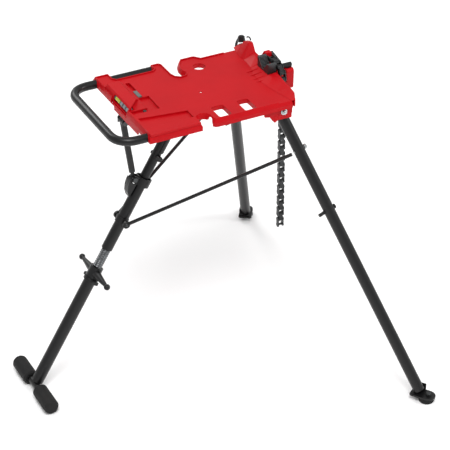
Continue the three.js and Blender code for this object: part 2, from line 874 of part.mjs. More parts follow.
function braceBracket() {
  const s = BRACKET_STATION;
  const stub = BALL_SPREAD - BALL_RADIUS - FIT;
  return cut(
    join(
      rod(onRear(s - 9), onRear(s + 9), SLEEVE.radius + 2.4, 24),
      rod(onRear(s, -stub), onRear(s, stub), STUB_RADIUS, 12),
    ),
    rod(onRear(s - 10), onRear(s + 10), SLEEVE.radius + FIT, 24),
  );
}

piece("brace_bracket", braceBracket(), BLACK_PAINT, rearLeg);
piece(
  "levelling_thread",
  rod(onRear(SLEEVE.z1 - THREAD_ENGAGED), onRear(WING.z1 + 110), THREAD_RADIUS, 20),
  DARK_STEEL,
  rearLeg,
);

function wingNut() {
  const s = (WING.z0 + WING.z1) / 2;
  const arms = [1, -1].flatMap((side) => [
    rod(onRear(s, side * 8), onRear(s, side * WING.span), WING.root, 14, WING.neck),
    ball(onRear(s, side * WING.span), WING.ball),
  ]);
  return cut(
    join(
      rod(onRear(WING.z0), onRear(WING.z1), WING.radius, 20),
      ...arms,
    ),
    rod(onRear(WING.z0 - 1), onRear(WING.z1 + 1), THREAD_RADIUS + FIT, 20),
  );
}

piece("wing_nut", wingNut(), BLACK_PAINT, rearLeg);

const flangeStart = WING.z1 + FIT;
const flangeEnd = flangeStart + 9;
function flange() {
  return cut(
    join(
      rod(onRear(flangeStart), onRear(flangeEnd), LOWER_RADIUS + 4, 24),
      block(-REAR_OFFSET - 8, -REAR_OFFSET + 8, -33, 33, flangeStart, flangeEnd),
    ),
    rod(onRear(flangeStart - 1), onRear(flangeEnd + 1), THREAD_RADIUS + FIT, 20),
  );
}

const axisHeight = REAR_PIN.z - REAR_OFFSET * Math.abs(REAR_DIRECTION.x);
const tBarStation = (axisHeight - BOOT.radius) / Math.abs(REAR_DIRECTION.z);
piece("flange", flange(), BLACK_PAINT, rearLeg);
piece(
  "lower_tube",
  pipe(
    onRear(flangeEnd + FIT),
    onRear(tBarStation - T_BAR_RADIUS - FIT),
    LOWER_RADIUS,
    THREAD_RADIUS + 1.5,
  ),
  BLACK_PAINT,
  rearLeg,
);
piece(
  "t_bar",
  rod(
    onRear(tBarStation, -BOOT.outer + 8),
    onRear(tBarStation, BOOT.outer - 8),
    T_BAR_RADIUS,
    20,
  ),
  BLACK_PAINT,
  rearLeg,
);

function boot(side) {
  const r = BOOT.radius;
  const length = BOOT.outer - BOOT.inner;
  const profile = [
    [T_BAR_RADIUS + FIT, 0],
    [r - 4, 0],
    [r, 5],
    [r, length - 8],
    [r - 3, length - 2],
    [r - 8, length],
    [0, length],
    [0, length - 8 + FIT],
    [T_BAR_RADIUS + FIT, length - 8 + FIT],
    [T_BAR_RADIUS + FIT, 0],
  ].map(([a, b]) => new THREE.Vector2(a, b));
  const geometry = new THREE.LatheGeometry(profile, 24).rotateX(Math.PI / 2);
  return aim(
    geometry,
    onRear(tBarStation, side * BOOT.inner),
    onRear(tBarStation, side * BOOT.outer),
  );
}

piece("boot_left", boot(1), BLACK_RUBBER, rearLeg);
piece("boot_right", boot(-1), BLACK_RUBBER, rearLeg);

// ---------------------------------------------------------------- strut and slide collar
const strutFoot = REAR_PIN.clone().addScaledVector(REAR_DIRECTION, COLLAR_STATION);
const strutHead = strutFoot.clone().addScaledVector(STRUT_DIRECTION, -STRUT_LENGTH);

function strutBracket() {
  const { x, z } = strutHead;
  const top = TRAY_UNDER + 1.6;
  const cheek = [
    [x - 2, top],
    [x + 36, top],
    [x + 10, z - 9],
    [x - 9, z - 9],
    [x - 9, z + 8],
    [x - 2, z + 13],
  ];
  return cut(
    join(
      forks(cheek.toReversed(), 12.6, 16),
      block(x - 2, x + 44, -22, 22, top - 3, top),
    ),
    rod(point(x, -30, z), point(x, 30, z), PIN_RADIUS + FIT),
  );
}

piece("strut_bracket", strutBracket(), BLACK_PAINT);
piece(
  "strut_pin",
  join(
    rod(point(strutHead.x, -17, strutHead.z), point(strutHead.x, 20, strutHead.z), PIN_RADIUS),
    rod(point(strutHead.x, -20, strutHead.z), point(strutHead.x, -16.4, strutHead.z), 8, 12),
  ),
  DARK_STEEL,
);

const strutFrame = frameAlong(strutHead, STRUT_DIRECTION, point(0, 1, 0));
const neck = { start: STRUT_LENGTH - 22, radius: 5 };
piece(
  "strut",
  cut(
    join(
      rod(point(0, -12, 0), point(0, 12, 0), STRUT_RADIUS),
      rod(point(0, 0, 4), point(0, 0, neck.start), STRUT_RADIUS),
      rod(point(0, 0, neck.start - 1), point(0, 0, neck.start + 4), STRUT_RADIUS, 20, neck.radius),
      rod(point(0, 0, neck.start + 3), point(0, 0, STRUT_LENGTH), neck.radius, 12),
      rod(point(0, -7, STRUT_LENGTH), point(0, 7, STRUT_LENGTH), 8),
    ),
    rod(point(0, -20, 0), point(0, 20, 0), PIN_RADIUS + FIT),
    rod(point(0, -20, STRUT_LENGTH), point(0, 20, STRUT_LENGTH), PIN_RADIUS + FIT),
  ),
  BLACK_PAINT,
  strutFrame,
);

function slideCollar() {
  const s = COLLAR_STATION;
  const bore = SLEEVE.radius + COLLAR_CLEARANCE;
  const cheek = [
    [-REAR_OFFSET + 8, s - 11],
    [4, s - 9],
    [9, s],
    [6, s + 9],
    [-REAR_OFFSET + 8, s + 11],
  ];
  const lip = [
    [9.4, s + 1],
    [12.5, s + 1],
    [13, s + 8],
    [10, s + 24],
    [2, s + 42],
    [-9, s + 54],
    [-11.5, s + 51],
    [-1, s + 39],
    [7, s + 22],
    [9.8, s + 8],
  ];
  const web = [
    [-4, s + 12],
    [10.5, s + 10],
    [8, s + 23],
    [0, s + 40],
    [-10, s + 52],
    [-REAR_OFFSET + bore, s + 11],
  ];
  return cut(
    join(
      rod(onRear(s - 12), onRear(s + 12), bore + 4, 28),
      forks(cheek.toReversed(), 7.5, 12),
      prismY(lip.toReversed(), -12, 12),
      forks(web.toReversed(), 9, 12),
    ),
    rod(onRear(s - 20), onRear(s + 70), bore, 28),
    rod(point(0, -20, s), point(0, 20, s), PIN_RADIUS + FIT),
  );
}

piece("slide_collar", slideCollar(), BLACK_PAINT, rearLeg);
piece(
  "collar_pin",
  join(
    rod(point(0, -13, COLLAR_STATION), point(0, 16, COLLAR_STATION), PIN_RADIUS),
    rod(point(0, -16, COLLAR_STATION), point(0, -12.4, COLLAR_STATION), 7, 12),
  ),
  DARK_STEEL,
  rearLeg,
);

// ---------------------------------------------------------------- front legs and braces
const groundRun = Math.hypot(FRONT_DIRECTION.x, FRONT_DIRECTION.y);
const plateTop = PAD.height + FIT + FOOT_PLATE.height;
const legEndZ = plateTop + FIT + FRONT_RADIUS * groundRun;
const frontLength = (FRONT_PIN.z - legEndZ) / Math.abs(FRONT_DIRECTION.z);
// The slanted leg pin stops where the edge of its end face would meet the outer plate.
const pinEdge = PIN_RADIUS * Math.hypot(FRONT_AXIS.x, FRONT_AXIS.z);
const pinReach = (BRACKET_PLATES.outer - FIT - FRONT_PIN.y - pinEdge) / FRONT_AXIS.y;

const bracketEdge = BRACKET_PLATES.outer + BRACKET_PLATES.thickness;
function legBracket(side) {
  const x = FRONT_PIN.x;
  const top = TRAY_UNDER - 0.5;
  const outer = [
    [x - 64, top],
    [x - 61, top - 15],
    [x - 46, top - 18],
    [x - 37, top - 31],
    [x - 30, top - 39],
    [x - 21, top - 33],
    [x + 21, top - 34],
    [x + 23, top],
  ].toReversed();
  const inner = [
    [x - 26, top],
    [x - 14, top - 46],
    [x + 12, top - 50],
    [x + 23, top - 40],
    [x + 23, top],
  ].toReversed();
  const near = BRACKET_PLATES.inner;
  const plate = (outline, y0, y1) =>
    side > 0 ? prismY(outline, y0, y1) : prismY(outline, -y1, -y0);
  const slab = (x0, x1, y0, y1, z0, z1) =>
    block(x0, x1, Math.min(side * y0, side * y1), Math.max(side * y0, side * y1), z0, z1);
  return join(
    plate(outer, BRACKET_PLATES.outer, bracketEdge),
    plate(inner, near, near + BRACKET_PLATES.thickness),
    slab(x - 62, x + 23, near, bracketEdge, top - 3, top),
    slab(x + 20, x + 23, near, bracketEdge, top - 20, top),
  );
}

function frontLeg(side, label) {
  const mirror = (v) => point(v.x, side * v.y, v.z);
  const pin = mirror(FRONT_PIN);
  const direction = mirror(FRONT_DIRECTION);
  const axis = mirror(FRONT_AXIS);
  const group = frameAlong(pin, direction, point(0, 1, 0));
  const inLeg = (v) => v.clone().applyQuaternion(group.quaternion.clone().invert());
  const pinAxis = inLeg(axis);
  const along = (distance) => pinAxis.clone().multiplyScalar(distance);
  const inner = inLeg(point(-1, 0, 0)).setZ(0).normalize(); // towards the rear leg, across the tube
  const station = (s, reach = 0) => point(0, 0, s).addScaledVector(inner, reach);

  piece(`leg_bracket_${label}`, legBracket(side), RED_PAINT);
  const boltY = side * (bracketEdge + FIT);
  const boltAt = (offset) => point(FRONT_PIN.x - 3.5, boltY + side * offset, TRAY_UNDER - 10.5);
  piece(
    `hinge_bolt_${label}`,
    join(
      rod(boltAt(0), boltAt(2.2), 9.4, 20),
      rod(boltAt(2), boltAt(8), 6.6, 6),
      rod(boltAt(7), boltAt(10), 3.4, 12),
    ),
    BRIGHT_STEEL,
  );
  piece(`leg_pin_${label}`, rod(along(-pinReach), along(pinReach), PIN_RADIUS), DARK_STEEL, group);
  piece(
    `front_leg_${label}`,
    cut(
      join(
        pipe(station(4), station(frontLength), FRONT_RADIUS, FRONT_RADIUS - TUBE_WALL),
        rod(along(-18), along(18), 12),
      ),
      rod(along(-30), along(30), PIN_RADIUS + FIT),
      rod(station(BRACE_STATION, -30), station(BRACE_STATION, 30), 4 + FIT, 12),
      rod(station(PEG_STATION, -30), station(PEG_STATION, 40), 5 + FIT, 12),
    ),
    BLACK_PAINT,
    group,
  );
  piece(
    `brace_pin_${label}`,
    join(
      rod(station(BRACE_STATION, -22), station(BRACE_STATION, 17.6), 4, 12),
      rod(station(BRACE_STATION, -24), station(BRACE_STATION, -17), 7, 12),
    ),
    BRIGHT_STEEL,
    group,
  );
  piece(
    `peg_${label}`,
    join(
      rod(station(PEG_STATION, -20), station(PEG_STATION, 34), 5, 12),
      rod(station(PEG_STATION, -21), station(PEG_STATION, -17), 7, 12),
    ),
    BLACK_PAINT,
    group,
  );

  // Foot: a level plate with a bolt, standing on a round pad
  const end = pin.clone().addScaledVector(direction, frontLength);
  const outward = point(direction.x, direction.y, 0).normalize();
  const foot = frameAlong(point(end.x, end.y, 0), point(0, 0, 1), outward);
  const half = FOOT_PLATE.width / 2;
  const plateOutline = [
    [-half + 4, -FOOT_PLATE.back],
    [half - 4, -FOOT_PLATE.back],
    [half, -FOOT_PLATE.back + 4],
    ...arc(0, FOOT_PLATE.front - half, half, 0, 180, 8),
    [-half, -FOOT_PLATE.back + 4],
  ];
  const tab = { thickness: 3, height: 22 };
  piece(
    `foot_plate_${label}`,
    cut(
      join(
        prismZ(plateOutline, PAD.height + FIT, plateTop),
        block(
          -half + 2,
          -half + 2 + tab.thickness,
          -FOOT_PLATE.back + 6,
          14,
          plateTop - 1,
          plateTop + tab.height,
        ),
      ),
      rod(point(0, PAD.reach + 6, PAD.height), point(0, PAD.reach + 6, plateTop + 1), 4.5, 12),
    ),
    BLACK_PAINT,
    foot,
  );
  piece(
    `foot_pad_${label}`,
    rod(point(0, PAD.reach, 0), point(0, PAD.reach, PAD.height), PAD.radius, 24, PAD.radius - 2),
    BLACK_RUBBER,
    foot,
  );
  piece(
    `foot_bolt_${label}`,
    join(
      rod(
        point(0, PAD.reach + 6, plateTop + FIT),
        point(0, PAD.reach + 6, plateTop + 8),
        8,
        6,
      ),
      rod(point(0, PAD.reach + 6, PAD.height + FIT), point(0, PAD.reach + 6, plateTop + 1), 4, 12),
    ),
    DARK_STEEL,
    foot,
  );

  // Brace from the rear leg's ball to the front leg
  const start = onRear(BRACKET_STATION, side * BALL_SPREAD)
    .applyQuaternion(rearLeg.quaternion)
    .add(REAR_PIN);
  const finishPoint = station(BRACE_STATION, BRACE_STANDOFF)
    .applyQuaternion(group.quaternion)
    .add(pin);
  piece(`ball_end_${label}`, ball(start, BALL_RADIUS), DARK_STEEL);
  const eye = point(0, 3.5, 0);
  const run = finishPoint.clone().sub(start).normalize();
  piece(
    `brace_rod_${label}`,
    join(
      pipe(start.clone().sub(eye), start.clone().add(eye), 11, BALL_RADIUS + 0.6, 20),
      rod(start.clone().addScaledVector(run, 9), finishPoint, BRACE_RADIUS, 16),
    ),
    BLACK_PAINT,
  );
}

frontLeg(1, "left");
frontLeg(-1, "right");

// The origin is on the ground, under the middle of the footprint.
const extent = new THREE.Box3().setFromObject(stand, true);
stand.position.set(
  -(extent.min.x + extent.max.x) / 2,
  -(extent.min.y + extent.max.y) / 2,
  -extent.min.z,
);

export default stand;
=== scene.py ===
"""Looks for a folding tripod chain vise stand: paint, steel, rubber, chain, thread and studio."""

from __future__ import annotations

import json
import logging
import math
from dataclasses import dataclass, field
from enum import Enum

import bmesh
import bpy
from mathutils import Matrix, Vector

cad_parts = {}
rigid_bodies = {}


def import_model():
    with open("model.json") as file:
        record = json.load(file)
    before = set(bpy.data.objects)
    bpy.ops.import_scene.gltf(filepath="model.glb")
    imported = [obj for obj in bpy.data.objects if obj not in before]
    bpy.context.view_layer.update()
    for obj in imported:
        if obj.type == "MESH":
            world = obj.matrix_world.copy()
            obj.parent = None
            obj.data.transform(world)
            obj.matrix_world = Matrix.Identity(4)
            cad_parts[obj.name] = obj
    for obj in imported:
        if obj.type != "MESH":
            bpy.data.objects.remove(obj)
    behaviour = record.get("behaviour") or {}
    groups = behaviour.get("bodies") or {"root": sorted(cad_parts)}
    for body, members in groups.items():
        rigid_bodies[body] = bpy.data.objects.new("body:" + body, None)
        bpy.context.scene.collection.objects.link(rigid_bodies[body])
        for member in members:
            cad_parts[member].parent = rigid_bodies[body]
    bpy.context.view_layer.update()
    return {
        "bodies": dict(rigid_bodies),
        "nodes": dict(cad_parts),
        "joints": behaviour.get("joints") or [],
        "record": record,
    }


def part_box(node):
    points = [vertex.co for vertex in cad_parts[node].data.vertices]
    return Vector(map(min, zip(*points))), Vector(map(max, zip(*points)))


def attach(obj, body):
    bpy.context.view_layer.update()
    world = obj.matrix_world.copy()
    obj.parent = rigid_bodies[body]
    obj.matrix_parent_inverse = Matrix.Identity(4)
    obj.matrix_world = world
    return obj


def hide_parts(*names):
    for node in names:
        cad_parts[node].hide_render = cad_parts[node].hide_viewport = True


MM = 0.001
SHARP = 35.0  # degrees; a sharper turn between two flats keeps its edge
BEVEL_FROM = 38.0  # degrees; a sharper turn gets a rounded edge
LOG = logging.getLogger("vise_stand")


def linear(hex_colour: str) -> tuple[float, float, float, float]:
    """Turns an sRGB hex colour into linear RGBA.

    Args:
        hex_colour: six hex digits, such as "D8202F".

    Returns:
        The linear red, green and blue, with an alpha of 1.
    """
    parts = [int(hex_colour[i : i + 2], 16) / 255 for i in (0, 2, 4)]
    curve = [c / 12.92 if c <= 0.04045 else ((c + 0.055) / 1.055) ** 2.4 for c in parts]
    return (curve[0], curve[1], curve[2], 1.0)


class Slot(Enum):
    """The record's material slots."""

    RED = "red_paint"
    BLACK = "black_paint"
    STEEL = "dark_steel"
    ZINC = "bright_steel"
    RUBBER = "rubber"
    VIAL = "vial_liquid"
    GREY = "grey_plastic"


# ------------------------------------------------------------------ node trees
class Tree:
    """A shader or geometry node tree with short ways to add and join nodes."""

    def __init__(self, tree: bpy.types.NodeTree) -> None:
        """Wraps a tree and empties it."""
        self.tree = tree
        tree.nodes.clear()

    def add(self, kind: str, values: dict | None = None, **settings: object) -> bpy.types.Node:
        """Adds one node.

        Args:
            kind: the node's type name.
            values: input name or number to a constant, or to an output socket to join.
            settings: attributes of the node, such as its operation.

        Returns:
            The new node.
        """
        node = self.tree.nodes.new(kind)
        for name, value in settings.items():
            setattr(node, name, value)
        for key, value in (values or {}).items():
            socket = node.inputs[key]
            if isinstance(value, bpy.types.NodeSocket):
                self.tree.links.new(value, socket)
            else:
                socket.default_value = value
        return node


# ------------------------------------------------------------------ finishes
DUST_SCALE = 9.0  # per metre: dust lies in areas about 110 mm across
PATCH_SCALE = 46.0  # per metre: handling wears patches about 22 mm across
SCRATCH_SCALE = (30.0, 420.0, 420.0)  # per metre: a scratch is about 33 mm by 2.4 mm
SCRATCH_TURN = (0.4, 0.3, 0.7)  # radians, so that scratches run across every face
COAT_ROUGHNESS = 0.22
NOISE_ROUGHNESS = 0.55
DUST_LIMITS = (0.42, 0.72)  # noise values between which dust sets in
PATCH_LIMITS = (0.5, 0.62)  # noise values between which a worn patch sets in
SCRATCH_START = 0.78  # noise value over which a scratch starts, on a finish without scuffs
SCRATCH_FADE = 0.06
FLECKS = 0.03  # how far the fine grain goes towards the scuff colour, which in the chain steel is partly a painted highlight
PATCH_SHARE = 0.7  # how far patches and scratches set the roughness
RUBBED_SHARE = 0.3


@dataclass(frozen=True)
class Finish:
    """One surface finish, made of a base colour, wear, grain and gloss.

    Attributes:
        slot: the record's slot.
        colour: the main colour.
        worn_and_glint: the colour that shows in scuffs; in the chain steel it is partly a painted
            highlight, standing for glints.
        dirt: the colour of dust and shade in the low patches.
        metallic: 0 for paint or rubber, 1 for bare metal.
        rough: the lowest and highest roughness.
        grain: scale of the fine surface texture, per metre.
        bump: depth of the fine texture, in metres.
        stretch: how the grain is drawn out along X, Y and Z.
        scuffs: share of the surface that is scuffed.
        coat: strength of the clear coat.
        dirt_amount: how far the low patches go towards the dirt colour.
        mirror: how strongly the bare surface reflects, 0.5 being plain plastic.
        look: the material's name, where it isn't the slot's own.
    """

    slot: Slot
    colour: str
    worn_and_glint: str
    dirt: str
    metallic: float = 0.0
    rough: tuple[float, float] = (0.35, 0.5)
    grain: float = 900.0
    bump: float = 0.00004
    stretch: tuple[float, float, float] = (1.0, 1.0, 1.0)
    scuffs: float = 0.03
    coat: float = 0.0
    dirt_amount: float = 0.35
    mirror: float = 0.5
    look: str = ""

    @property
    def name(self) -> str:
        """The material's name."""
        return self.look or self.slot.value

    def make(self) -> bpy.types.Material:
        """Builds the material.

        Returns:
            A node material that reads Object coordinates.
        """
        material = bpy.data.materials.new(self.name)
        material.use_nodes = True
        tree = Tree(material.node_tree)
        place = tree.add("ShaderNodeTexCoord").outputs["Object"]
        drawn = tree.add("ShaderNodeMapping", {"Vector": place, "Scale": self.stretch}).outputs[0]
        scratched = tree.add(
            "ShaderNodeMapping",
            {"Vector": place, "Rotation": SCRATCH_TURN, "Scale": SCRATCH_SCALE},
        ).outputs[0]
        broad, patches, fine, scratches = (
            tree.add(
                "ShaderNodeTexNoise",
                {"Vector": where, "Scale": scale, "Detail": detail, "Roughness": NOISE_ROUGHNESS},
            ).outputs[0]
            for where, scale, detail in (
                (place, DUST_SCALE, 4.0),
                (place, PATCH_SCALE, 6.0),
                (drawn, self.grain, 3.0),
                (scratched, 1.0, 2.0),
            )
        )
        edge = SCRATCH_START - self.scuffs
        dusty, handled, scored = (
            tree.add("ShaderNodeMapRange", {0: value, 1: low, 2: high}).outputs[0]
            for value, low, high in (
                (broad, *DUST_LIMITS),
                (patches, *PATCH_LIMITS),
                (scratches, edge, edge + SCRATCH_FADE),
            )
        )
        dirty, rubbed_and_glint, flecked = (
            tree.add("ShaderNodeMath", {0: first, 1: second}, operation="MULTIPLY").outputs[0]
            for first, second in ((dusty, self.dirt_amount), (scored, handled), (fine, FLECKS))
        )
        colour = linear(self.colour)
        # Dust, rubbed scratches and fine grain pull the colour towards the dirt and scuff colours;
        # in the chain steel the pale scratches are partly painted highlights that stand for glints.
        for amount, other in ((dirty, self.dirt), (rubbed_and_glint, self.worn_and_glint), (flecked, self.worn_and_glint)):
            colour = tree.add(
                "ShaderNodeMix", {0: amount, 6: colour, 7: linear(other)}, data_type="RGBA"
            ).outputs[2]
        low, high = self.rough
        rubbed_part = tree.add(
            "ShaderNodeMath", {0: rubbed_and_glint, 1: RUBBED_SHARE}, operation="MULTIPLY"
        ).outputs[0]
        mixed = tree.add(
            "ShaderNodeMath", {0: patches, 1: PATCH_SHARE, 2: rubbed_part}, operation="MULTIPLY_ADD"
        ).outputs[0]
        rough = tree.add(
            "ShaderNodeMath", {0: mixed, 1: high - low, 2: low}, operation="MULTIPLY_ADD"
        ).outputs[0]
        relief = tree.add(
            "ShaderNodeBump",
            {"Height": fine, "Distance": self.bump, "Strength": 1.0},
        ).outputs[0]
        shader = tree.add(
            "ShaderNodeBsdfPrincipled",
            {
                "Base Color": colour,
                "Roughness": rough,
                "Metallic": self.metallic,
                "Coat Weight": self.coat,
                "Coat Roughness": COAT_ROUGHNESS,
                "Specular IOR Level": self.mirror,
                "Normal": relief,
            },
        )
        tree.add("ShaderNodeOutputMaterial", {"Surface": shader.outputs[0]})
        return material


FINISHES = (
    # Sprayed enamel on pressed sheet: an even red with a soft broad shine. The orange peel
    # is about 1.4 mm across.
    Finish(
        Slot.RED, "AF040F", "CC2834", "950009", rough=(0.38, 0.5), grain=700,
        bump=0.00003, scuffs=0.02, mirror=0.14, dirt_amount=0.3,
    ),
    # Powder coat on drawn tube: near black, with a narrow highlight down each tube. The
    # grains are about 0.7 mm, coarser than the real ones so that they show.
    Finish(
        Slot.BLACK, "0F0F10", "303234", "171615", rough=(0.3, 0.44), grain=1500,
        bump=0.00005, scuffs=0.03, mirror=0.34,
    ),
    # Oil-blackened forged steel: dull grey, drawn out along its length, with bare scuffs.
    Finish(
        Slot.STEEL, "4A4C4D", "9C9E9F", "232221", metallic=0.8, rough=(0.3, 0.5),
        stretch=(1.0, 0.25, 0.08), grain=1100, scuffs=0.08, dirt_amount=0.6,
    ),
    # The same steel where use rubs it bright, on the thread's crests and the jaws' ridges.
    Finish(
        Slot.STEEL, "66686A", "D2D4D5", "2A2928", metallic=1.0, rough=(0.2, 0.38),
        grain=1400, scuffs=0.12, dirt_amount=0.5, look="rubbed_steel",
    ),
    # Oiled chain steel: dark plates. Its pale scratches are partly real scuffs and partly painted
    # highlights, put in for small bright glints on the plates' edges.
    Finish(
        Slot.STEEL, "3C3D3E", "A4A6A7", "1D1C1B", metallic=0.9, rough=(0.24, 0.42),
        grain=1200, scuffs=0.1, dirt_amount=0.5, look="oiled_steel",
    ),
    # Zinc-plated bolts and pins: the brightest metal, with a soft reflection.
    Finish(
        Slot.ZINC, "B9BCBD", "E0E2E3", "77766F", metallic=1.0, rough=(0.2, 0.38),
        grain=1300, scuffs=0.06, dirt_amount=0.3,
    ),
    # Moulded rubber: matt black that greys where it lifts, with a grain of about 1.3 mm.
    Finish(
        Slot.RUBBER, "121213", "2E2E2F", "1E1D1B", rough=(0.66, 0.9), grain=800,
        bump=0.00012, scuffs=0.03, dirt_amount=0.5, mirror=0.3,
    ),
    # Clear acrylic over green spirit: smooth, with a hard wet-looking highlight.
    Finish(
        Slot.VIAL, "A8B014", "D8DC50", "6E7A10", rough=(0.05, 0.12), grain=90,
        bump=0.0, scuffs=0.0, coat=0.6,
    ),
    # Moulded plastic on the vial: a dark grey sleeve, and bands of a paler one.
    Finish(
        Slot.VIAL, "3A3D40", "6A6D70", "1B1C1E", rough=(0.3, 0.4), grain=600,
        scuffs=0.02, look="vial_sleeve",
    ),
    Finish(
        Slot.VIAL, "7C8084", "9A9DA0", "5B5E62", rough=(0.2, 0.34), grain=600,
        scuffs=0.02, look="vial_band",
    ),
    # Moulded plastic of the slot insert: matt grey, with a grain of about 1 mm.
    Finish(Slot.GREY, "5C615F", "8E9290", "40423F", rough=(0.45, 0.6), grain=1000, bump=0.00008),
)


class Paintbox:
    """Makes each finish once and hands it out."""

    def __init__(self) -> None:
        """Builds every finish."""
        self.made = {finish.name: finish.make() for finish in FINISHES}

    def dress(self, piece: bpy.types.Object, slot: Slot, look: str = "") -> None:
        """Gives a piece one finish, in place of any it has: the named look, or else the slot's own
        finish.

        Args:
            piece: the object.
            slot: the record's slot.
            look: the finish's own name, where it isn't the slot's.
        """
        piece.data.materials.clear()
        piece.data.materials.append(self.made[look or slot.value])


# ------------------------------------------------------------------ mesh helpers
def new_piece(name: str, mesh: bpy.types.Mesh) -> bpy.types.Object:
    """Puts a mesh into the scene as an object at the origin."""
    piece = bpy.data.objects.new(name, mesh)
    bpy.context.scene.collection.objects.link(piece)
    return piece


def mesh_from(name: str, build: bmesh.types.BMesh, sharp: float = SHARP) -> bpy.types.Mesh:
    """Turns a bmesh into a smooth-shaded mesh with sharp edges where it turns.

    Args:
        name: the mesh's name.
        build: the bmesh, which is freed.
        sharp: the angle in degrees above which an edge is sharp.

    Returns:
        The new mesh.
    """
    mesh = bpy.data.meshes.new(name)
    build.to_mesh(mesh)
    build.free()
    mesh.shade_smooth()
    mesh.set_sharp_from_angle(angle=math.radians(sharp))
    return mesh


def bevelled(piece: bpy.types.Object, width: float, segments: int = 2) -> None:
    """Applies a bevel to the hard edges of a piece."""
    bevel = piece.modifiers.new("edges", "BEVEL")
    bevel.width = width
    bevel.segments = segments
    bevel.limit_method = "ANGLE"
    bevel.angle_limit = math.radians(BEVEL_FROM)
    bevel.use_clamp_overlap = True
    weighted = piece.modifiers.new("flats", "WEIGHTED_NORMAL")
    weighted.keep_sharp = True
    weighted.weight = 100
    apply_modifiers(piece, keep_normals=True)


def apply_modifiers(piece: bpy.types.Object, keep_normals: bool = False) -> None:
    """Bakes a piece's modifiers into a plain mesh and removes them.

    Args:
        piece: the object.
        keep_normals: whether the modifiers have already set the shading.
    """
    evaluated = piece.evaluated_get(bpy.context.evaluated_depsgraph_get())
    mesh = bpy.data.meshes.new_from_object(evaluated)
    piece.modifiers.clear()
    piece.data = mesh
    if not keep_normals:
        mesh.shade_smooth()
        mesh.set_sharp_from_angle(angle=math.radians(SHARP))


def frame_matrix(origin: Vector, along: Vector, across: Vector) -> Matrix:
    """A placing whose Z runs along one direction and whose X is near another."""
    z_axis = along.normalized()
    y_axis = z_axis.cross(across).normalized()
    x_axis = y_axis.cross(z_axis)
    turn = Matrix((x_axis, y_axis, z_axis)).transposed().to_4x4()
    return Matrix.Translation(origin) @ turn


def lathe(profile: list[tuple[float, float]], sides: int, place: Matrix) -> bmesh.types.BMesh:
    """Turns a profile of (radius, height) round Z and closes it.

    Args:
        profile: points from one end of the outside to the other; a radius of 0 closes on the axis.
        sides: how many flats go round.
        place: where the turned body goes.

    Returns:
        The body as a bmesh, with its faces pointing out.
    """
    build = bmesh.new()
    rings = []
    for radius, height in profile:
        if radius == 0:
            rings.append([build.verts.new((0, 0, height))])
            continue
        angles = [2 * math.pi * i / sides for i in range(sides)]
        rings.append(
            [build.verts.new((radius * math.cos(a), radius * math.sin(a), height)) for a in angles]
        )
    for low, high in zip(rings, rings[1:]):
        for i in range(sides):
            j = (i + 1) % sides
            near = [low[i % len(low)], low[j % len(low)]]
            far = [high[j % len(high)], high[i % len(high)]]
            face = list(dict.fromkeys(near + far))
            if len(face) > 2:
                build.faces.new(face)
    bmesh.ops.recalc_face_normals(build, faces=build.faces)
    build.transform(place)
    return build


# ------------------------------------------------------------------ geometry node tools
class Repeater:
    """A geometry node tree that ends in Realize Instances and Set Material."""

    def __init__(self, name: str) -> None:
        """Starts an empty tree with one geometry input and output."""
        self.group = bpy.data.node_groups.new(name, "GeometryNodeTree")
        self.group.is_modifier = True
        face = self.group.interface
        face.new_socket("Geometry", in_out="INPUT", socket_type="NodeSocketGeometry")
        face.new_socket("Geometry", in_out="OUTPUT", socket_type="NodeSocketGeometry")
        self.tree = Tree(self.group)
        self.ids: dict[str, str] = {}

    def input(self, name: str, kind: str) -> None:
        """Declares a named input, such as a size or an object."""
        socket = self.group.interface.new_socket(name, in_out="INPUT", socket_type=kind)
        self.ids[name] = socket.identifier

    def start(self) -> bpy.types.Node:
        """Adds the Group Input node, once every input is declared."""
        return self.tree.add("NodeGroupInput")

    def end(self, geometry: bpy.types.NodeSocket, material: bpy.types.Material) -> None:
        """Realizes the instances, sets the material and ends the tree."""
        real = self.tree.add("GeometryNodeRealizeInstances", {0: geometry}).outputs[0]
        shown = self.tree.add(
            "GeometryNodeSetMaterial", {"Geometry": real, "Material": material}
        ).outputs[0]
        self.tree.add("NodeGroupOutput", {0: shown})

    def bake(self, piece: bpy.types.Object, values: dict[str, object]) -> None:
        """Runs the tree on a piece and keeps the result as its mesh."""
        modifier = piece.modifiers.new("repeat", "NODES")
        modifier.node_group = self.group
        for name, value in values.items():
            modifier[self.ids[name]] = value
        apply_modifiers(piece)


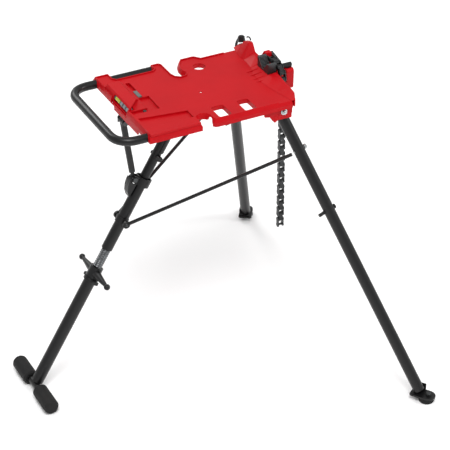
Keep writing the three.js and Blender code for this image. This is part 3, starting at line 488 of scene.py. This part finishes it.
# ------------------------------------------------------------------ sheet metal and tubes
@dataclass
class DressedFrame:
    """Every CAD node that keeps its shape, with its edges rounded and its finish on.

    Attributes:
        paint: the finishes.
        edge: bevel width by node name; a node that isn't named gets the default.
    """

    frame: dict
    paint: Paintbox
    default_edge: float = 0.5 * MM
    edge: dict[str, float] = field(
        default_factory=lambda: {
            "tool_tray": 1.2 * MM,
            "vise_saddle": 2.2 * MM,
            "level_housing": 1.8 * MM,
            "vise_body": 1.5 * MM,
            "crank_arm": 2.0 * MM,
            "jaw_left": 0.8 * MM,
            "jaw_right": 0.8 * MM,
            "leg_bracket_left": 1.0 * MM,
            "leg_bracket_right": 1.0 * MM,
            "slide_collar": 0.8 * MM,
            "brace_knob": 1.5 * MM,
            "foot_pad_left": 2.0 * MM,
            "foot_pad_right": 2.0 * MM,
            "wing_nut": 0.8 * MM,
        }
    )

    def slots(self) -> dict[str, Slot]:
        """The finish of each node, from the record."""
        parts = self.frame["record"]["subparts"]
        return {part["node"]: Slot(part["material_slot"]) for part in parts}

    def build(self, left_out: set[str]) -> None:
        """Makes a rounded copy of every node but those named.

        Args:
            left_out: nodes that another class stands in for.
        """
        for node, slot in self.slots().items():
            if node in left_out:
                continue
            piece = self.rounded(node)
            self.paint.dress(piece, slot)
            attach(piece, self.body_of(node))
            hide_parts(node)
        LOG.info("dressed %d carried-over nodes", len(self.slots()) - len(left_out))

    def body_of(self, node: str) -> str:
        """The body that holds a node."""
        bodies = self.frame["record"]["behaviour"]["bodies"]
        return next(body for body, nodes in bodies.items() if node in nodes)

    def rounded(self, node: str) -> bpy.types.Object:
        """A merged copy of a node's mesh with its flats joined and its edges bevelled."""
        build = bmesh.new()
        build.from_mesh(self.frame["nodes"][node].data)
        bmesh.ops.remove_doubles(build, verts=build.verts, dist=0.02 * MM)
        bmesh.ops.dissolve_limit(
            build, angle_limit=math.radians(1.0), verts=build.verts, edges=build.edges
        )
        piece = new_piece(f"{node}_shell", mesh_from(node, build))
        bevelled(piece, self.edge.get(node, self.default_edge))
        return piece


# ------------------------------------------------------------------ chain
@dataclass
class RollerChain:
    """The vise chain: waisted side plates, inner blocks and riveted pins on every joint.

    Attributes:
        pitch: joint to joint.
        plate_height: height of an outer plate at its ends.
        waist: height of an outer plate between its ends.
        plate: plate thickness.
        half_width: from the chain's middle to an outer plate's outer face.
        pin: rivet radius.
    """

    frame: dict
    paint: Paintbox
    pitch: float = 18.3 * MM
    plate_height: float = 14.6 * MM
    waist: float = 12.4 * MM
    plate: float = 3.0 * MM
    half_width: float = 9.2 * MM
    pin: float = 3.0 * MM
    upper_links: int = 14
    lower_links: int = 12

    def build(self) -> set[str]:
        """Makes the three runs.

        Returns:
            The nodes that they stand in for.
        """
        tree = self._tree()
        outer = self._plate("outer_link", self.plate_height, self.waist, self.plate)
        inner = self._plate(
            "inner_link",
            self.plate_height - 2 * MM,
            self.waist - MM,
            2 * (self.half_width - self.plate) - 0.6 * MM,
        )
        low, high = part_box("chain_upper")
        x, y = (low.x + high.x) / 2, (low.y + high.y) / 2
        joint = {j["name"]: j["pos_m"][2] for j in self.frame["joints"] if "pos_m" in j}
        hang = joint["chain_swing_upper"]
        runs = {
            "chain_top": (self._crest(x, hang), "stand_top", 0),
            "chain_upper": (self._hanging(x, y, hang, self.upper_links), "upper_chain", 1),
            "chain_lower": (
                self._hanging(x, y, joint["chain_swing_lower"], self.lower_links),
                "lower_chain",
                1,
            ),
        }
        for node, (joints, body, first) in runs.items():
            mesh = bpy.data.meshes.new(node)
            mesh.from_pydata(joints, [(i, i + 1) for i in range(len(joints) - 1)], [])
            piece = new_piece(f"{node}_links", mesh)
            tree.bake(
                piece,
                {
                    "Outer plate": outer,
                    "Inner block": inner,
                    "Plate offset": self.half_width - self.plate / 2,
                    "Pin radius": self.pin,
                    "Pin length": 2 * self.half_width + 0.6 * MM,
                    "First is inner": first,
                },
            )
            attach(piece, body)
            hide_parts(node)
        for helper in (outer, inner):
            bpy.data.objects.remove(helper)
        LOG.info("chain of %d hanging links", self.upper_links + self.lower_links)
        return set(runs)

    def _crest(self, x: float, hang: float) -> list[Vector]:
        """The joints over the vise, from its far end to where the chain hangs."""
        low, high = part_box("chain_top")
        top = high.z - 8 * MM
        route = [(16, 0), (-2, 0.5), (-20, 0.2), (-37, -4), (-50, -16)]
        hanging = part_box("chain_upper")
        y = (hanging[0].y + hanging[1].y) / 2
        joints = [Vector((x, across * MM, top + drop * MM)) for across, drop in route]
        return joints + [Vector((x, y, hang))]

    def _hanging(self, x: float, y: float, top: float, count: int) -> list[Vector]:
        """The joints of a run that hangs straight down."""
        return [Vector((x, y, top - i * self.pitch)) for i in range(count + 1)]

    def _plate(self, name: str, height: float, waist: float, thick: float) -> bpy.types.Object:
        """A waisted link along Y, with its thickness along X."""
        reach = self.pitch / 2
        radius = height / 2
        outline = []
        for side in (1, -1):
            for step in range(-6, 7):
                angle = math.radians(step * 21)
                along = reach + radius * math.cos(angle)
                outline.append((side * along, side * radius * math.sin(angle)))
            outline.append((0.0, side * waist / 2))
        build = bmesh.new()
        ring = [build.verts.new((-thick / 2, along, up)) for along, up in outline]
        face = build.faces.new(ring)
        pushed = bmesh.ops.extrude_face_region(build, geom=[face])["geom"]
        moved = [v for v in pushed if isinstance(v, bmesh.types.BMVert)]
        bmesh.ops.translate(build, verts=moved, vec=(thick, 0, 0))
        bmesh.ops.recalc_face_normals(build, faces=build.faces)
        piece = new_piece(name, mesh_from(name, build))
        bevelled(piece, 0.5 * MM, 1)
        return piece

    def _tree(self) -> Repeater:
        """The tree that sets plates, blocks and pins along a row of joints."""
        made = Repeater("chain_links")
        for name, kind in (
            ("Outer plate", "NodeSocketObject"),
            ("Inner block", "NodeSocketObject"),
            ("Plate offset", "NodeSocketFloat"),
            ("Pin radius", "NodeSocketFloat"),
            ("Pin length", "NodeSocketFloat"),
            ("First is inner", "NodeSocketInt"),
        ):
            made.input(name, kind)
        tree, given = made.tree, made.start()
        ends = tree.add("GeometryNodeInputMeshEdgeVertices")
        run = tree.add(
            "ShaderNodeVectorMath",
            {0: ends.outputs["Position 2"], 1: ends.outputs["Position 1"]},
            operation="SUBTRACT",
        ).outputs[0]
        kept = tree.add("GeometryNodeStoreNamedAttribute", {
            "Geometry": given.outputs["Geometry"], "Name": "run", "Value": run,
        }, data_type="FLOAT_VECTOR", domain="EDGE").outputs[0]
        links = tree.add("GeometryNodeMeshToPoints", {"Mesh": kept}, mode="EDGES").outputs[0]
        named = tree.add(
            "GeometryNodeInputNamedAttribute", {"Name": "run"}, data_type="FLOAT_VECTOR"
        ).outputs[0]
        turn = tree.add("FunctionNodeAlignRotationToVector", {"Vector": named}, axis="Y").outputs[0]
        index = tree.add("GeometryNodeInputIndex").outputs[0]
        counted = tree.add(
            "ShaderNodeMath", {0: index, 1: given.outputs["First is inner"]}, operation="ADD"
        ).outputs[0]
        odd = tree.add("ShaderNodeMath", {0: counted, 1: 2.0}, operation="MODULO").outputs[0]
        even = tree.add("ShaderNodeMath", {0: 1.0, 1: odd}, operation="SUBTRACT").outputs[0]
        block = tree.add("GeometryNodeObjectInfo", {"Object": given.outputs["Inner block"]})
        shapes = [(block.outputs["Geometry"], odd)]
        plate = tree.add("GeometryNodeObjectInfo", {"Object": given.outputs["Outer plate"]})
        for side in (1.0, -1.0):
            offset = tree.add(
                "ShaderNodeMath", {0: given.outputs["Plate offset"], 1: side}, operation="MULTIPLY"
            ).outputs[0]
            shift = tree.add("ShaderNodeCombineXYZ", {0: offset}).outputs[0]
            moved = tree.add(
                "GeometryNodeTransform",
                {"Geometry": plate.outputs["Geometry"], "Translation": shift},
            ).outputs[0]
            shapes.append((moved, even))
        parts = [
            tree.add(
                "GeometryNodeInstanceOnPoints",
                {"Points": links, "Instance": shape, "Rotation": turn, "Selection": chosen},
            ).outputs[0]
            for shape, chosen in shapes
        ]
        pin = tree.add(
            "GeometryNodeMeshCylinder",
            {
                "Vertices": 12,
                "Radius": given.outputs["Pin radius"],
                "Depth": given.outputs["Pin length"],
            },
        ).outputs["Mesh"]
        lying = tree.add(
            "GeometryNodeTransform", {"Geometry": pin, "Rotation": (0.0, math.pi / 2, 0.0)}
        ).outputs[0]
        joints = tree.add(
            "GeometryNodeMeshToPoints", {"Mesh": given.outputs["Geometry"]}, mode="VERTICES"
        ).outputs[0]
        pins = tree.add("GeometryNodeInstanceOnPoints", {"Points": joints, "Instance": lying})
        parts.append(pins.outputs[0])
        whole = tree.add("GeometryNodeJoinGeometry")
        for part in parts:
            tree.tree.links.new(part, whole.inputs[0])
        made.end(whole.outputs[0], self.paint.made["oiled_steel"])
        return made


# ------------------------------------------------------------------ levelling thread
@dataclass
class LevellingThread:
    """The coarse screw between the sleeve and the wing nut.

    Attributes:
        outer: crest radius.
        depth: thread depth.
        pitch: crest to crest.
        length: the whole screw.
        start_share: where the screw starts, as a share of the half length above its middle.
        sides: flats round one turn.
        steps: rings in one pitch.
    """

    frame: dict
    paint: Paintbox
    outer: float = 13.3 * MM
    depth: float = 1.9 * MM
    pitch: float = 6.0 * MM
    length: float = 228.0 * MM
    start_share: float = 0.94
    sides: int = 36
    steps: int = 8

    def build(self) -> set[str]:
        """Makes the thread.

        Returns:
            The node that it stands in for.
        """
        joints = {j["name"]: j for j in self.frame["joints"]}
        down = Vector(joints["level_slide"]["axis"])
        on_axis = Vector(joints["wing_turn"]["pos_m"])
        low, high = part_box("levelling_thread")
        start = on_axis + down * ((low.z + high.z) / 2 - on_axis.z) / down.z
        half = (high - low).length / 2 - self.outer
        place = frame_matrix(start - down * half * self.start_share, down, Vector((0, 1, 0)))
        build = bmesh.new()
        rings = int(self.length / self.pitch * self.steps)
        grid = []
        for ring in range(rings + 1):
            height = self.length * ring / rings
            row = []
            for side in range(self.sides):
                angle = 2 * math.pi * side / self.sides
                phase = (height / self.pitch - side / self.sides) % 1.0
                radius = self.outer - self.depth * self._form(phase)
                row.append(
                    build.verts.new((radius * math.cos(angle), radius * math.sin(angle), height))
                )
            grid.append(row)
        for low_row, high_row in zip(grid, grid[1:]):
            for i in range(self.sides):
                j = (i + 1) % self.sides
                build.faces.new((low_row[i], low_row[j], high_row[j], high_row[i]))
        build.faces.new(list(reversed(grid[0])))
        build.faces.new(grid[-1])
        bmesh.ops.recalc_face_normals(build, faces=build.faces)
        build.transform(place)
        piece = new_piece("levelling_screw", mesh_from("levelling_screw", build, 60))
        self.paint.dress(piece, Slot.STEEL, "rubbed_steel")
        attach(piece, "lower_leg")
        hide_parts("levelling_thread")
        LOG.info("thread of %d turns", int(self.length / self.pitch))
        return {"levelling_thread"}

    def _form(self, phase: float) -> float:
        """The trapezoid form of one thread: 0 on the crest and 1 in the root."""
        fall = abs(phase - 0.5) * 2
        return min(1.0, max(0.0, (0.68 - fall) / 0.4))


# ------------------------------------------------------------------ spirit level
@dataclass
class SpiritLevel:
    """The vial: a green tube at its far end, and a dark sleeve with pale bands at the near one.

    Attributes:
        sleeve_share: how much of the length the sleeve takes.
        bands: pale bands on the sleeve.
    """

    paint: Paintbox
    sleeve_share: float = 0.62
    bands: int = 3
    lip: float = 0.8 * MM

    def build(self) -> set[str]:
        """Makes the tube, the sleeve and its bands.

        Returns:
            The node that they stand in for.
        """
        low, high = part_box("level_vial")
        radius = (high.z - low.z) / 2 - 0.1 * MM
        centre = Vector(((low.x + high.x) / 2, 0, (low.z + high.z) / 2))
        split = low.y + (high.y - low.y) * self.sleeve_share
        tube = radius - self.lip
        self._part("vial_tube", centre, split, high.y, tube, "")
        self._part("vial_cap", centre, high.y - 7 * MM, high.y, radius - 0.3 * MM, "vial_sleeve")
        self._part("vial_sleeve", centre, low.y, split, tube, "vial_sleeve")
        step = (split - low.y) / self.bands
        for i in range(self.bands):
            start = low.y + (i + 0.1) * step
            end = start + 0.62 * step
            self._part(f"vial_band_{i + 1}", centre, start, end, radius, "vial_band")
        return {"level_vial"}

    def _part(
        self, name: str, centre: Vector, start: float, end: float, radius: float, look: str
    ) -> None:
        """Adds one round part of the vial between two places along Y."""
        length = end - start
        rim = min(self.lip, length / 4)
        profile = [(0, 0), (radius - rim, 0), (radius, rim), (radius, length - rim)]
        profile += [(radius - rim, length), (0, length)]
        origin = Vector((centre.x, start, centre.z))
        place = frame_matrix(origin, Vector((0, 1, 0)), Vector((1, 0, 0)))
        piece = new_piece(name, mesh_from(name, lathe(profile, 32, place)))
        self.paint.dress(piece, Slot.VIAL, look)
        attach(piece, "stand_top")
        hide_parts("level_vial")


# ------------------------------------------------------------------ vise teeth
@dataclass
class JawTeeth:
    """Ridges across the gripping faces of the two jaws.

    Attributes:
        pitch: ridge to ridge, down the face.
        side: width of the square bar that is sunk into the face on its corner.
        valley: height of the face's foot over the jaw's base.
        tip: width of the jaw's flat tip.
    """

    paint: Paintbox
    pitch: float = 3.6 * MM
    side: float = 1.5 * MM
    valley: float = 4.0 * MM
    tip: float = 7.0 * MM

    def build(self) -> None:
        """Makes a row of ridges for each jaw."""
        tree = self._tree()
        for label, way in (("left", 1), ("right", -1)):
            node = f"jaw_{label}"
            low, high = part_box(node)
            foot_y, tip_y = (low.y, high.y) if way > 0 else (high.y, low.y)
            foot = Vector(((low.x + high.x) / 2, foot_y, low.z + self.valley))
            top = Vector((foot.x, tip_y - way * self.tip, high.z))
            run = top - foot
            count = int(run.length / self.pitch) - 1
            start = foot + run.normalized() * self.pitch
            mesh = bpy.data.meshes.new(f"{node}_teeth")
            mesh.from_pydata([start], [], [])
            piece = new_piece(f"{node}_teeth", mesh)
            values = {
                "Count": count,
                "Step": run.normalized() * self.pitch,
                "Length": high.x - low.x - 1.0 * MM,
                "Side": self.side,
                "Slope": math.atan2(run.z, run.y) + math.pi / 4,
            }
            tree.bake(piece, values)
            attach(piece, "stand_top")
            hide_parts(node)

    def _tree(self) -> Repeater:
        """The tree that sets square bars in a row up a slope."""
        made = Repeater("jaw_teeth")
        for name, kind in (
            ("Count", "NodeSocketInt"),
            ("Step", "NodeSocketVector"),
            ("Length", "NodeSocketFloat"),
            ("Side", "NodeSocketFloat"),
            ("Slope", "NodeSocketFloat"),
        ):
            made.input(name, kind)
        tree, given = made.tree, made.start()
        line = tree.add(
            "GeometryNodeMeshLine",
            {"Count": given.outputs["Count"], "Offset": given.outputs["Step"]},
        ).outputs[0]
        size = tree.add(
            "ShaderNodeCombineXYZ",
            {
                0: given.outputs["Length"],
                1: given.outputs["Side"],
                2: given.outputs["Side"],
            },
        ).outputs[0]
        bar = tree.add("GeometryNodeMeshCube", {"Size": size}).outputs[0]
        turn = tree.add("ShaderNodeCombineXYZ", {0: given.outputs["Slope"]}).outputs[0]
        row = tree.add(
            "GeometryNodeInstanceOnPoints", {"Points": line, "Instance": bar, "Rotation": turn}
        ).outputs[0]
        rows = tree.add(
            "GeometryNodeInstanceOnPoints",
            {"Points": given.outputs["Geometry"], "Instance": row},
        ).outputs[0]
        made.end(rows, self.paint.made["rubbed_steel"])
        return made


# ------------------------------------------------------------------ window sill
@dataclass
class WindowSill:
    """The low lip along the foot of the level's window, which closes the gap under the housing.

    Attributes:
        height: how far the lip stands over the housing's foot.
        thick: its thickness, along X.
    """

    paint: Paintbox
    height: float = 3.2 * MM
    thick: float = 3.4 * MM

    def build(self) -> None:
        """Makes the lip between the ends of the window."""
        tray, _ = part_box("tool_tray")
        housing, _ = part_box("level_housing")
        vial, vial_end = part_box("level_vial")
        build = bmesh.new()
        bmesh.ops.create_cube(build, size=1.0)
        size = Vector((self.thick, vial_end.y - vial.y, self.height))
        centre = Vector(
            (
                tray.x + 0.3 * MM + self.thick / 2,
                (vial.y + vial_end.y) / 2,
                housing.z + self.height / 2,
            )
        )
        build.transform(Matrix.Translation(centre) @ Matrix.Diagonal((*size, 1.0)))
        piece = new_piece("window_sill", mesh_from("window_sill", build))
        bevelled(piece, 0.6 * MM)
        self.paint.dress(piece, Slot.RED)
        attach(piece, "stand_top")
        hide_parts("tool_tray")


# ------------------------------------------------------------------ studio
@dataclass
class Studio:
    """The camera, a pale floor and soft lights.

    Attributes:
        eye: the camera's place, from the vise stand's origin.
        forward: where it looks.
        lens: focal length in millimetres on a 36 mm sensor.
        floor_half: half the floor's width, in metres.
        surround: strength of the even white light from all round.
    """

    eye: Vector = field(default_factory=lambda: Vector((-1.9607, -4.0546, 3.3436)))
    forward: Vector = field(default_factory=lambda: Vector((0.3834, 0.7459, -0.5446)))
    lens: float = 151.1
    floor_half: float = 12.0
    surround: float = 0.62

    def build(self) -> None:
        """Makes the camera, the floor and the lights."""
        self._camera()
        self._floor()
        self._light("key_light", Vector((-1.6, -3.4, 7.4)), size=3.2, power=400.0)
        self._light("side_light", Vector((4.6, -3.2, 3.6)), size=1.6, power=90.0)
        self._light("back_light", Vector((-0.6, 5.2, 4.6)), size=2.4, power=110.0)
        self._sky()

    def _camera(self) -> None:
        """Adds the camera and makes it the scene's."""
        data = bpy.data.cameras.new("camera")
        data.lens = self.lens
        data.sensor_width = 36.0
        data.clip_end = 100.0
        camera = bpy.data.objects.new("camera", data)
        bpy.context.scene.collection.objects.link(camera)
        camera.location = self.eye
        camera.rotation_mode = "QUATERNION"
        camera.rotation_quaternion = self.forward.to_track_quat("-Z", "Y")
        bpy.context.scene.camera = camera

    def _floor(self) -> None:
        """Adds the plain floor."""
        half = self.floor_half
        mesh = bpy.data.meshes.new("floor")
        corners = [(-half, -half, 0), (half, -half, 0), (half, half, 0), (-half, half, 0)]
        mesh.from_pydata(corners, [], [(0, 1, 2, 3)])
        floor = new_piece("floor", mesh)
        material = bpy.data.materials.new("pale_floor")
        material.use_nodes = True
        shader = material.node_tree.nodes["Principled BSDF"]
        shader.inputs["Base Color"].default_value = linear("FBFBFB")
        shader.inputs["Roughness"].default_value = 0.9
        mesh.materials.append(material)

    def _light(self, name: str, place: Vector, size: float, power: float) -> None:
        """Adds a square soft light that faces the object."""
        data = bpy.data.lights.new(name, "AREA")
        data.size = size
        data.energy = power
        light = bpy.data.objects.new(name, data)
        bpy.context.scene.collection.objects.link(light)
        light.location = place
        light.rotation_mode = "QUATERNION"
        light.rotation_quaternion = (Vector((0, 0, 0.5)) - place).to_track_quat("-Z", "Y")

    def _sky(self) -> None:
        """Sets an even white surround."""
        world = bpy.data.worlds.new("surround")
        world.use_nodes = True
        world.node_tree.nodes["Background"].inputs[0].default_value = (1.0, 1.0, 1.0, 1.0)
        world.node_tree.nodes["Background"].inputs[1].default_value = self.surround
        bpy.context.scene.world = world
        bpy.context.scene.view_settings.view_transform = "Standard"


# ------------------------------------------------------------------ the whole stand
def main() -> None:
    """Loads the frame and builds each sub-assembly."""
    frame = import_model()
    paint = Paintbox()
    done: set[str] = set()
    done |= RollerChain(frame, paint).build()
    done |= LevellingThread(frame, paint).build()
    done |= SpiritLevel(paint).build()
    JawTeeth(paint).build()
    WindowSill(paint).build()
    DressedFrame(frame, paint).build(done)
    Studio().build()
    LOG.info("boxes written")


if __name__ == "__main__":
    logging.basicConfig(level=logging.INFO, format="%(name)s: %(message)s")
    main()
